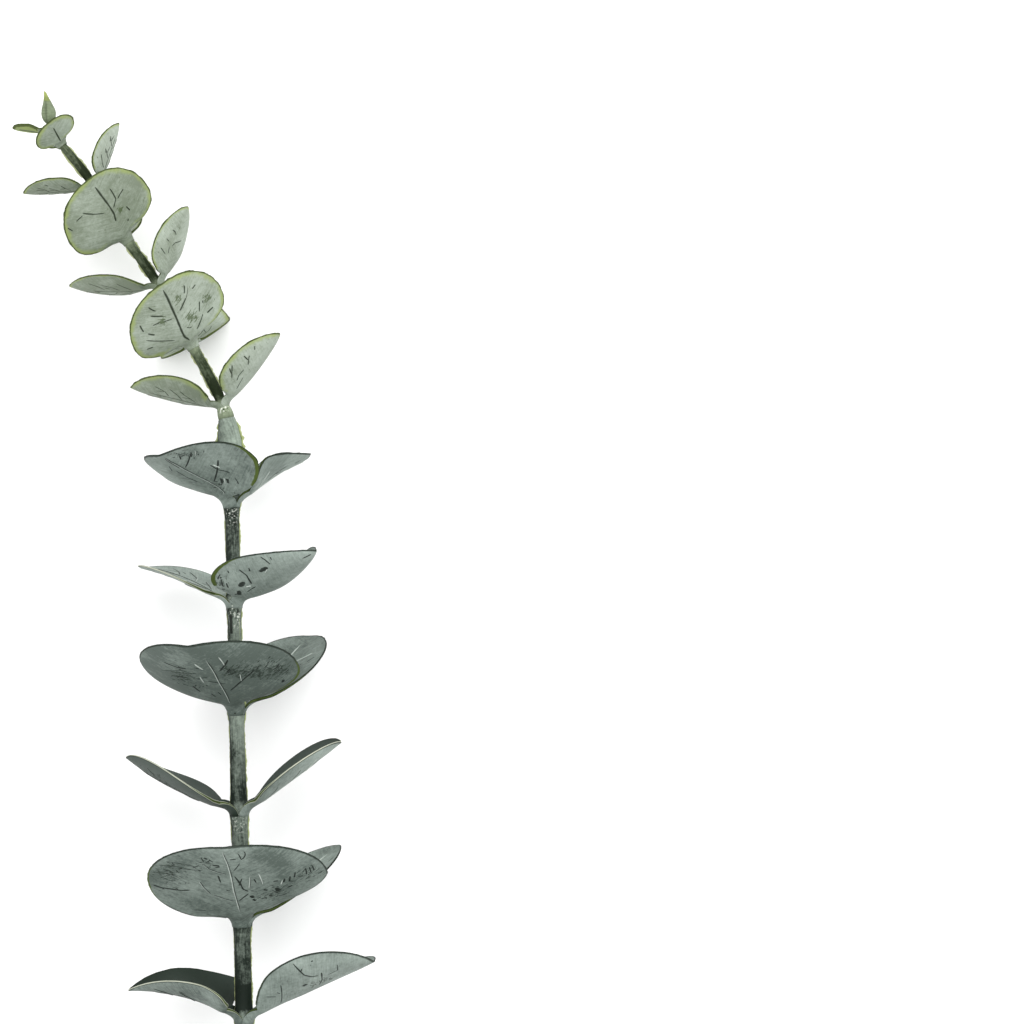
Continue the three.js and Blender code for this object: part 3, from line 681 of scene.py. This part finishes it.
def skin_strip(bm, radius_of, start, stop, turn, half_turn, lift, mark, seed):
    """A small patch or ridge that lies on the stem between two stations."""
    long = run_at(stop) - run_at(start)
    verts, where = grid(bm, 4, max(4, int(long / 0.35)))
    t, u = where[:, 1], where[:, 0] * 2 - 1
    station = start + (stop - start) * t
    ragged = 1 + 0.3 * rough(np.stack([t * long, u, 0 * t], -1), 0.8, seed)
    angle = math.radians(turn) - u * math.radians(half_turn) * ragged
    point, along, right, up = stem_frame(station)
    out = right * np.cos(angle)[:, None] + up * np.sin(angle)[:, None]
    sunk = (np.abs(u) > 0.9) | (t < 0.01) | (t > 0.99)
    places = point + out * (radius_of(station) + np.where(sunk, -0.08, lift))[:, None]
    here = run_at(station)
    write(bm, verts, places, edge=9, wall=0, mark=np.where(sunk, 0, mark), wear=0, tone=0,
          pale=0, grain=np.stack([angle, here, np.full_like(here, seed)], -1))
    faces = {f for vert in verts for f in vert.link_faces}
    face = next(iter(faces))
    face.normal_update()
    if face.normal @ Vector(out[0]) < 0:
        bmesh.ops.reverse_faces(bm, faces=list(faces))


def flash_fin(bm, radius_of, start, stop, turn, high, seed, thick):
    """The thin ragged fin that the mould leaves along one side of a stem."""
    long = run_at(stop) - run_at(start)
    verts, where = grid(bm, 3, max(6, int(long / 0.4)))
    t, u = where[:, 1], where[:, 0]
    station = start + (stop - start) * t
    point, along, right, up = stem_frame(station)
    angle = math.radians(turn)
    out = right * math.cos(angle) + up * math.sin(angle)
    cross = up * math.cos(angle) - right * math.sin(angle)
    line = np.stack([t * long, 0 * t, 0 * t], -1)
    height = high * (0.55 + 0.5 * rough(line, 3.0, seed) + 0.35 * rough(line, 0.9, seed + 1))
    height = np.maximum(0.02, height) * smooth(np.minimum(t, 1 - t) * long / 1.5)
    wave = 0.12 * rough(line, 2.0, seed + 2)
    reach = radius_of(station) - 0.25 + u * (0.25 + height)
    places = point + out * reach[:, None] + cross * (wave * u)[:, None]
    here = run_at(station)
    write(bm, verts, places, edge=9, wall=0.4 + 0.6 * u, mark=0, wear=0, tone=0, pale=0,
          grain=np.stack([u, here, np.full_like(here, seed)], -1))
    faces = list({f for vert in verts for f in vert.link_faces})
    bmesh.ops.solidify(bm, geom=faces, thickness=thick)
    bmesh.ops.recalc_face_normals(bm, faces=faces)


# Chips and ridges of the main stem: node, start and stop past it, turn, half turn, lift,
# mark and seed
STEM_STRIPS = [
    ("n09", 0.65, 0.84, 116, 19, 0.16, -1, 3),
    ("n09", 0.85, 0.9, 130, 9, 0.14, -1, 4),
    ("n09", -0.1, -0.03, 96, 10, 0.14, -1, 6),
    ("n08", -0.1, -0.06, 100, 9, 0.15, 1, 7),
    ("n08", -0.2, -0.15, 84, 9, 0.15, 1, 8),
    ("n08", -0.16, -0.11, 60, 10, 0.14, -1, 9),
    ("n11", 0.55, 0.62, 60, 9, 0.14, -0.8, 10),
]
# Its mould fins: start, stop, turn, height, seed, thickness
STEM_FINS = [
    (at_node("n09") + 0.4, at_node("n08") - 0.2, 42, 0.1, 27, 0.9),
    (3.05, SEVEN - 0.02, 12, 0.42, 21, 0.22),
    (3.05, SEVEN - 0.02, 176, 0.24, 22, 0.14),
    (0.05, 2.95, 8, 0.25, 23, 0.14),
    (0.05, 2.95, 176, 0.25, 24, 0.14),
    (SEVEN + 0.25, RIM - 0.05, 3, 1.1, 25, 0.3),
    (SEVEN + 0.25, RIM - 0.05, 177, 1.2, 26, 0.3),
]


def build_main_stem():
    bm = open_mesh()
    top = RIM - 0.01
    outer = np.concatenate([np.arange(0, SEVEN, 0.025), np.arange(SEVEN, top, 0.05), [top]])
    profile = [(0.9, 0.0), (2.2, 0.0)] + [(float(main_radius(s)), float(s)) for s in outer]
    profile[2] = (2.72, 0.0)
    profile += [(2.3, RIM), (1.95, RIM), (1.9, RIM - 0.05), (1.9, RIM - 0.45), (1.2, RIM - 0.5)]
    verts, station, angle = stem_tube(bm, profile, 48, 5, 0.07)
    here = run_at(station)
    # Painted shade just above each node, under the leaf cups, partly darker paint there too.
    shade = np.zeros_like(here)
    for name in GREY_NODES:
        past = here - run_at(at_node(name))
        shade += 0.85 * smooth(past / 1.5) * (1 - smooth((past - 2) / 9))
    # Painted shade down the left side; the wear layer is raised there and above the nodes too, so its
    # rubbed pits also darken these shaded places.
    left = np.maximum(0, -np.cos(angle)) ** 2
    between = stretch_of(station, "n10", 0.2, "n07", 0.2)
    wear = 0.35 * shade + 0.6 * left * (0.5 + 0.5 * between)
    # Painted light: the right side of the stem is drawn lighter.
    lit_right_side = np.maximum(0, np.cos(angle)) ** 6
    speck = np.zeros_like(here)
    for name, size in (("n08", 0.9), ("n07", 0.6), ("n10", 0.5)):
        near = np.exp(-(((here - run_at(at_node(name)) + 5) / 4.5) ** 2))
        speck += size * near * np.maximum(0, np.sin(angle))
    sleeve = smooth((station - SEVEN - 0.35) / 0.3)
    dim = 0.6 * stretch_of(station, "n08", 0.15, "n07", 0.15)
    dim = dim + 0.45 * stretch_of(station, "n12", 0.1, "n11", 0.2)
    write(bm, verts, [v.co.copy() for v in verts], wear=wear * (1 - sleeve),
          tone=np.clip(sleeve * 0.6 - 0.8 * shade - 0.75 * left + 0.3 * lit_right_side - dim, -1, 1),
          edge=9 - 8.5 * np.clip(speck, 0, 1))
    for node, start, stop, *strip in STEM_STRIPS:
        at = at_node(node)
        skin_strip(bm, main_radius, at + start, at + stop, *strip)
    for fin in STEM_FINS:
        flash_fin(bm, main_radius, *fin)
    return finish_piece(bm, "moulded_main_stem", "main_stem", "stem", GREY_STEM)


def build_spray_stem():
    bm = open_mesh()
    foot = RIM - 0.44
    outer = np.arange(RIM + 0.02, LAST, 0.04)
    profile = [(0.6, foot), (1.3, foot), (1.5, foot + 0.03), (1.55, RIM - 0.03)]
    profile += [(float(spray_radius(s)), float(s)) for s in outer]
    profile += [(0.8, LAST - 0.02), (0.4, LAST)]
    verts, station, angle = stem_tube(bm, profile, 32, 9, 0.06)
    here = run_at(station)
    # Painted shade just above each node, under the leaf cups; the wear layer follows it, so its pits
    # darken there too.
    shade, fresh = np.zeros_like(here), np.zeros_like(here)
    for name in SPRAY_NODES + ("n06",):
        past = here - run_at(at_node(name))
        shade += smooth(past / 1.2) * (1 - smooth((past - 3) / 7))
        fresh += np.exp(-(((past + 1.5) / 2.2) ** 2))
    speck = 0.9 * np.exp(-(((here - run_at(at_node("n06")) + 2.2) / 1.6) ** 2))
    speck = speck * np.maximum(0, np.sin(angle))
    # Painted shade down the right side of the spray stem.
    right = np.maximum(0, np.cos(angle)) ** 2
    tone = 0.9 * fresh - 0.6 * shade - 0.3 * right - 0.3 + 0.95 * (station < at_node("n06"))
    write(bm, verts, [v.co.copy() for v in verts], wear=0.3 * shade,
          edge=9 - 8.5 * np.clip(speck, 0, 1), tone=np.clip(tone, -1, 1))
    nodes = [at_node(n) for n in ("n06", "n05", "n04", "n03", "n02", "n01")]
    for i, (a, b) in enumerate(zip(nodes, nodes[1:])):
        flash_fin(bm, spray_radius, a + 0.12, b - 0.12, 0, 0.55, 40 + i, 0.2)
        flash_fin(bm, spray_radius, a + 0.12, b - 0.12, 180, 0.62, 50 + i, 0.2)
    return finish_piece(bm, "moulded_spray_stem", "spray_stem", "spray_stem", GREEN_STEM)


def build_bud():
    bm = open_mesh()
    verts = bmesh.ops.create_uvsphere(bm, u_segments=36, v_segments=30, radius=1)["verts"]
    t = np.array([math.acos(max(-1, min(1, -v.co.z))) / math.pi for v in verts])
    angle = np.array([math.atan2(v.co.y, v.co.x) for v in verts])
    t = t**1.05
    stops = [0, 0.03, 0.1, 0.2, 0.32, 0.45, 0.58, 0.7, 0.82, 0.93, 1]
    radius = np.interp(t, stops, [0, 0.75, 1.45, 1.95, 2.12, 1.95, 1.5, 1.05, 0.66, 0.38, 0])
    crease = 0.16 * np.exp(-((np.abs(angle - 1.9) / 0.22) ** 2))
    crease = crease * smooth(t * 5) * smooth((1 - t) * 4)
    folds = 1 + 0.07 * np.cos(2 * angle + 0.8) - crease
    point, along, right, up = stem_frame(float(LAST))
    high = t * 10.2
    lean = 0.45 * np.sin(t * math.pi) - 0.5 * t**2
    x = point[0] + 0.35 + lean - 0.07 * high + radius * folds * np.cos(angle)
    z = point[2] + radius * folds * np.sin(angle)
    y = point[1] + 1.0 + high
    places = np.stack([x, y, z], -1)
    places = places + 0.05 * rough(places, 1.1, 3)[:, None]
    # Painted shade: the bud is drawn darker on its upper left side and lighter on its lower right, and
    # darker along its crease.
    write(bm, verts, places, edge=9, wall=smooth((t - 0.62) / 0.3) * 0.9,
          mark=-0.5 * np.exp(-((np.abs(angle - 1.9) / 0.16) ** 2)), wear=0.1,
          tone=0.25 - 0.5 * np.cos(angle - 2.4) * 0.3,
          grain=np.stack([high, angle * 2, 0 * high], -1))
    bmesh.ops.recalc_face_normals(bm, faces=bm.faces[:])
    return finish_piece(bm, "moulded_tip_bud", "tip_bud", "bud", GREEN_BUD)


# ---------------------------------------------------------------- finishes

def linear(*levels):
    """A colour for a shader from its three screen levels, 0 to 255."""
    shares = [c / 255 for c in levels]
    return tuple(c / 12.92 if c <= 0.04 else ((c + 0.055) / 1.055) ** 2.4 for c in shares) + (1.0,)


class Finish:
    """A material made up node by node, with short words for the nodes it uses."""

    def __init__(self, name):
        self.material = bpy.data.materials.new(name)
        self.material.use_nodes = True
        self.nodes, self.links = self.material.node_tree.nodes, self.material.node_tree.links
        self.shader = self.nodes["Principled BSDF"]
        self.object = self.nodes.new("ShaderNodeTexCoord").outputs["Object"]

    def set(self, socket, value):
        if isinstance(value, bpy.types.NodeSocket):
            self.links.new(value, socket)
        else:
            socket.default_value = value

    def layer(self, name, kind="Fac"):
        node = self.nodes.new("ShaderNodeAttribute")
        node.attribute_name = name
        return node.outputs[kind]

    def math(self, operation, a, b=0.0, clamp=False):
        node = self.nodes.new("ShaderNodeMath")
        node.operation, node.use_clamp = operation, clamp
        self.set(node.inputs[0], a)
        self.set(node.inputs[1], b)
        return node.outputs[0]

    def ramp(self, value, low, high, to_low=0.0, to_high=1.0):
        node = self.nodes.new("ShaderNodeMapRange")
        node.interpolation_type = "SMOOTHSTEP"
        self.set(node.inputs["Value"], value)
        for key, number in zip(("From Min", "From Max", "To Min", "To Max"),
                               (low, high, to_low, to_high)):
            self.set(node.inputs[key], number)
        return node.outputs["Result"]

    def noise(self, scale, detail=3.0, stretch=None, where=None, roughness=0.55):
        node = self.nodes.new("ShaderNodeTexNoise")
        source = where or self.object
        if stretch:
            turn = self.nodes.new("ShaderNodeMapping")
            turn.inputs["Scale"].default_value = stretch
            self.links.new(source, turn.inputs["Vector"])
            source = turn.outputs[0]
        self.links.new(source, node.inputs["Vector"])
        node.inputs["Scale"].default_value = scale
        node.inputs["Detail"].default_value = detail
        node.inputs["Roughness"].default_value = roughness
        return node.outputs["Fac"]

    def mix(self, amount, a, b):
        node = self.nodes.new("ShaderNodeMix")
        node.data_type = "RGBA"
        self.set(node.inputs["Factor"], amount)
        self.set(node.inputs["A"], a)
        self.set(node.inputs["B"], b)
        return [o for o in node.outputs if o.type == "RGBA"][0]

    def bump(self, height, strength, distance, onto=None):
        node = self.nodes.new("ShaderNodeBump")
        node.inputs["Strength"].default_value = strength
        node.inputs["Distance"].default_value = distance
        self.links.new(height, node.inputs["Height"])
        if onto is not None:
            self.links.new(onto, node.inputs["Normal"])
        return node.outputs[0]

    def close(self, colour, roughness, normal, specular=0.1):
        self.links.new(colour, self.shader.inputs["Base Color"])
        self.set(self.shader.inputs["Roughness"], roughness)
        self.links.new(normal, self.shader.inputs["Normal"])
        self.shader.inputs["Specular IOR Level"].default_value = specular
        return self.material


def moulded_plastic(name, dark, light, bare, pale_vein_and_highlight, rim_thin, rim_stout, line, line_wide=0.001,
                    band=None, band_wide=0.5, pit_gain=1.0, wear_gain=0.19, rim_pale=None,
                    dark_mark_and_shade=linear(14, 20, 15)):
    """Painted moulded plastic: cloudy paint, streaks, rubbed pits, veins, rims and flash.

    dark, light: the paint's two ends. bare: where it is rubbed off, and also the colour of
    painted shade where the tone layer runs below -1. line: the dark outline, partly darker
    paint at the edge and partly painted shade of the rounded rim, and band the green one,
    with their widths in mm. pit_gain, wear_gain: how much is rubbed.
    """
    f = Finish(name)
    grain = f.layer("grain", "Vector")
    cloud = f.noise(90, 3)
    fine = f.noise(900, 3, roughness=0.7)
    streak = f.noise(1.0, 3, stretch=(1.9, 0.16, 1.0), where=grain, roughness=0.65)
    tone = f.math("ADD", f.math("MULTIPLY", f.layer("tone"), 0.5), f.math("MULTIPLY", cloud, 1.2))
    tone = f.math("ADD", tone, f.math("MULTIPLY", f.math("SUBTRACT", fine, 0.5), 0.8))
    tone = f.math("ADD", tone, f.math("MULTIPLY", f.math("SUBTRACT", streak, 0.78), 0.85), clamp=True)
    # Painted shade: where the tone layer runs below -1 the colour sinks toward the bare colour.
    painted_shade = f.math("SUBTRACT", f.math("MULTIPLY", f.layer("tone"), -1.0), 1.0, clamp=True)
    colour = f.mix(painted_shade, f.mix(tone, dark, light), bare)
    lines = f.ramp(streak, 0.6, 0.7)
    lines = f.math("MULTIPLY", lines, f.ramp(f.noise(160, 2), 0.42, 0.62))
    colour = f.mix(f.math("MULTIPLY", lines, 0.6 * pit_gain), colour, bare)
    pits = f.noise(1.0, 4, stretch=(1.5, 0.5, 1.0), where=grain, roughness=0.72)
    pits = f.math("ADD", pits, f.math("MULTIPLY", f.layer("wear"), wear_gain))
    pits = f.ramp(pits, 0.66, 0.72)
    colour = f.mix(f.math("MULTIPLY", pits, 0.75), colour, bare)
    waver = f.math("MULTIPLY", f.math("SUBTRACT", f.noise(300, 3), 0.5), 1.5 * band_wide)
    edge = f.math("ADD", f.layer("edge"), waver)
    if band is not None:
        colour = f.mix(f.ramp(edge, 0.0, band_wide, 0.8, 0.0), colour, band)
    # The dark outline along the edge: partly darker paint gathered there, partly painted shade of the
    # rounded rim.
    fray = f.math("MULTIPLY", f.math("SUBTRACT", f.noise(700, 2), 0.5), 0.4)
    ragged = f.math("ADD", f.layer("edge"), fray)
    colour = f.mix(f.ramp(ragged, line_wide * 0.4, line_wide, 0.85, 0.0), colour, line)
    green = f.math("SUBTRACT", ragged, f.math("MULTIPLY", f.layer("moss"), 1.1))
    green = f.math("MULTIPLY", f.ramp(green, -0.25, 0.05, 1.0, 0.0), f.ramp(f.layer("moss"), 0.1, 0.4))
    colour = f.mix(green, colour, rim_stout)
    mark = f.layer("mark")
    # Strokes: the pale parts, partly paler paint and partly painted highlight, mix toward the pale
    # vein colour; the dark parts mix toward the dark mark colour, which on a rib's far flank is
    # painted shade.
    colour = f.mix(f.math("MULTIPLY", mark, 0.62, clamp=True), colour, pale_vein_and_highlight)
    colour = f.mix(f.math("MULTIPLY", mark, -0.9, clamp=True), colour, dark_mark_and_shade)
    wall = f.layer("wall")
    if rim_pale is not None:
        rim_thin = f.mix(f.layer("pale"), rim_thin, rim_pale)
    rim = f.mix(f.ramp(wall, 0.5, 0.8), rim_thin, rim_stout)
    rim = f.mix(f.math("MULTIPLY", f.noise(600, 2), 0.35), rim, bare)
    colour = f.mix(f.ramp(wall, 0.04, 0.22), colour, rim)
    rough_grain = f.math("ADD", f.math("MULTIPLY", fine, 0.18), 0.5)
    height = f.math("ADD", f.math("MULTIPLY", fine, 0.35), f.math("MULTIPLY", streak, 0.5))
    height = f.math("SUBTRACT", height, f.math("MULTIPLY", pits, 0.7))
    return f, colour, rough_grain, f.bump(height, 0.35, 0.00012)


def speckled(f, colour, pale, dark):
    """Chips of white and black around a node, where the edge layer runs low."""
    amount = f.ramp(f.layer("edge"), 0.5, 8.5, 1.0, 0.0)
    chips = f.noise(1500, 2)
    white = f.math("MULTIPLY", f.ramp(chips, 0.56, 0.62), amount)
    black = f.math("MULTIPLY", f.ramp(chips, 0.36, 0.42, 1.0, 0.0), amount)
    return f.mix(black, f.mix(white, colour, pale), dark)


WHITE_CHIP, BLACK_CHIP = linear(220, 224, 214), linear(30, 38, 30)


def grey_leaf():
    # Its dark outline and dark thin rim walls are partly darker paint and partly painted shade of the
    # rounded rim.
    f, colour, rough_grain, normal = moulded_plastic(
        "grey_green_leaf", dark=linear(82, 92, 86), light=linear(156, 168, 160),
        bare=linear(32, 42, 34), pale_vein_and_highlight=linear(192, 200, 193), rim_thin=linear(30, 38, 30),
        rim_stout=linear(70, 84, 38), rim_pale=linear(184, 188, 170),
        line=linear(30, 38, 30), line_wide=0.42)
    return f.close(colour, rough_grain, normal)


def spray_leaf():
    f, colour, rough_grain, normal = moulded_plastic(
        "pale_green_leaf", dark=linear(117, 127, 110), light=linear(180, 190, 178),
        bare=linear(62, 78, 40), pale_vein_and_highlight=linear(200, 206, 190), rim_thin=linear(52, 62, 34),
        rim_stout=linear(72, 84, 40), line=linear(56, 66, 34), line_wide=0.34,
        band=linear(140, 154, 88), band_wide=1.9, pit_gain=0.7, wear_gain=0.3,
        dark_mark_and_shade=linear(26, 36, 20))
    return f.close(colour, rough_grain, normal)


def grey_stem():
    f, colour, rough_grain, normal = moulded_plastic(
        "grey_green_stem", dark=linear(30, 38, 32), light=linear(155, 168, 155),
        bare=linear(20, 28, 22), pale_vein_and_highlight=linear(210, 216, 206), rim_thin=linear(110, 126, 70),
        rim_stout=linear(184, 194, 138), line=linear(44, 52, 42), pit_gain=1.1)
    return f.close(speckled(f, colour, WHITE_CHIP, BLACK_CHIP), rough_grain, normal)


def green_stem():
    f, colour, rough_grain, normal = moulded_plastic(
        "green_spray_stem", dark=linear(38, 48, 28), light=linear(138, 150, 124),
        bare=linear(30, 40, 22), pale_vein_and_highlight=linear(196, 202, 184), rim_thin=linear(120, 136, 80),
        rim_stout=linear(190, 198, 152), line=linear(60, 70, 44), pit_gain=0.8)
    return f.close(speckled(f, colour, WHITE_CHIP, BLACK_CHIP), rough_grain, normal)


def green_bud():
    f, colour, rough_grain, normal = moulded_plastic(
        "green_bud", dark=linear(72, 84, 58), light=linear(142, 154, 128),
        bare=linear(50, 64, 30), pale_vein_and_highlight=linear(196, 202, 184), rim_thin=linear(128, 140, 84),
        rim_stout=linear(150, 160, 92), line=linear(60, 70, 44), pit_gain=0.5)
    return f.close(colour, rough_grain, normal)


GREY_LEAF, SPRAY_LEAF, GREY_STEM, GREEN_STEM, GREEN_BUD = (
    make() for make in (grey_leaf, spray_leaf, grey_stem, green_stem, green_bud)
)

build_main_stem()
build_spray_stem()
build_bud()
for leaf_name, leaf_row in LEAVES.items():
    build_leaf(leaf_name, leaf_row)


# ---------------------------------------------------------------- floor, light, camera

def build_floor():
    bm = bmesh.new()
    bmesh.ops.create_grid(bm, x_segments=1, y_segments=1, size=2.5)
    bmesh.ops.translate(bm, verts=bm.verts[:], vec=(0, 0, -0.0002))
    mesh = bpy.data.meshes.new("pale_floor")
    bm.to_mesh(mesh)
    bm.free()
    material = bpy.data.materials.new("pale_floor")
    material.use_nodes = True
    shader = material.node_tree.nodes["Principled BSDF"]
    shader.inputs["Base Color"].default_value = (0.96, 0.96, 0.96, 1)
    shader.inputs["Roughness"].default_value = 0.9
    shader.inputs["Specular IOR Level"].default_value = 0.0
    mesh.materials.append(material)
    floor = bpy.data.objects.new("pale_floor", mesh)
    bpy.context.scene.collection.objects.link(floor)


def soft_light(name, place, size, power):
    data = bpy.data.lights.new(name, "AREA")
    data.shape, data.size, data.energy = "DISK", size, power
    lamp = bpy.data.objects.new(name, data)
    lamp.location = place
    aim = Vector((0.01, 0.06, 0.03)) - Vector(place)
    lamp.rotation_euler = aim.to_track_quat("-Z", "Y").to_euler()
    bpy.context.scene.collection.objects.link(lamp)


build_floor()
soft_light("key_softbox", (0.6, 0.8, 1.5), 1.6, 20)
soft_light("fill_softbox", (-0.9, -0.2, 1.5), 1.8, 12)
world = bpy.data.worlds.new("studio")
world.use_nodes = True
world.node_tree.nodes["Background"].inputs["Color"].default_value = (1, 1, 1, 1)
world.node_tree.nodes["Background"].inputs["Strength"].default_value = 0.95
bpy.context.scene.world = world
bpy.context.scene.view_settings.view_transform = "Standard"

camera_data = bpy.data.cameras.new("camera")
camera_data.sensor_width = 36
camera_data.lens = 152.3
camera = bpy.data.objects.new("camera", camera_data)
camera.location = (0.0957, 0.0915, 1.33)
bpy.context.scene.collection.objects.link(camera)
bpy.context.scene.camera = camera
